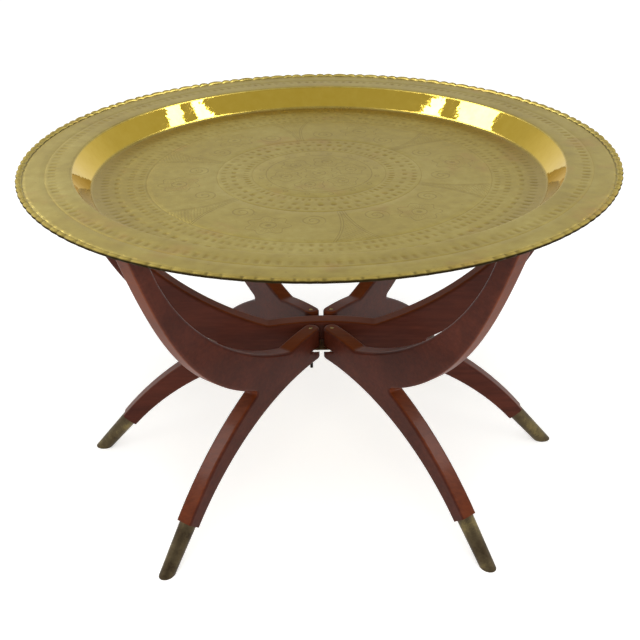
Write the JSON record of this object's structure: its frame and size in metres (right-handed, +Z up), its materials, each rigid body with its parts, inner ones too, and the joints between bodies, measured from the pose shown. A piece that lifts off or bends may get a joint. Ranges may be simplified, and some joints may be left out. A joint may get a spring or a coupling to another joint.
{
  "type": "folding tray table",
  "caption": "Round dished brass tray resting on a folding wooden spider base with curved arms, curved legs and brass ferrules.",
  "frame": {"origin": "on the floor under the middle of the tray", "axes": "+Z up, X along the centre board, -Y to the side the picture is taken from"},
  "size_m": [0.84, 0.84, 0.506],
  "materials": {
    "tray_brass": "satin, chased floor and flange, polished well wall",
    "mahogany": "satin red-brown lacquer",
    "ferrule_brass": "aged, dull",
    "pin_brass": "worn",
    "zinc_plate": "bright zinc plated"
  },
  "bodies": {
    "base": {"centre_board": "mahogany", "hinge_plate": "zinc_plate", "plate_retaining_pin": "zinc_plate", "ferrule_left": "ferrule_brass", "ferrule_right": "ferrule_brass"},
    "tray": {"tray": "tray_brass"},
    "swing_leg_front_left": {"leg_front_left": "mahogany", "ferrule_front_left": "ferrule_brass", "hinge_pin_front_left": "pin_brass"},
    "swing_leg_front_right": {"leg_front_right": "mahogany", "ferrule_front_right": "ferrule_brass", "hinge_pin_front_right": "pin_brass"},
    "swing_leg_rear_left": {"leg_rear_left": "mahogany", "ferrule_rear_left": "ferrule_brass", "hinge_pin_rear_left": "pin_brass"},
    "swing_leg_rear_right": {"leg_rear_right": "mahogany", "ferrule_rear_right": "ferrule_brass", "hinge_pin_rear_right": "pin_brass"}
  },
  "joints": [
    {"name": "fold_front_left", "type": "hinge", "parent": "base", "child": "swing_leg_front_left", "pos_m": [-0.016, -0.0305, 0.202], "axis": [0, 0, 1], "range_deg": [-54, 36]},
    {"name": "fold_front_right", "type": "hinge", "parent": "base", "child": "swing_leg_front_right", "pos_m": [0.016, -0.0305, 0.202], "axis": [0, 0, 1], "range_deg": [-37.4, 52.6]},
    {"name": "fold_rear_left", "type": "hinge", "parent": "base", "child": "swing_leg_rear_left", "pos_m": [-0.016, 0.0305, 0.202], "axis": [0, 0, 1], "range_deg": [-36, 54]},
    {"name": "fold_rear_right", "type": "hinge", "parent": "base", "child": "swing_leg_rear_right", "pos_m": [0.016, 0.0305, 0.202], "axis": [0, 0, 1], "range_deg": [-54, 36]},
    {"name": "tray_lift", "type": "slide", "parent": "base", "child": "tray", "axis": [0, 0, 1], "range_m": [0, 0.12]}
  ]
}
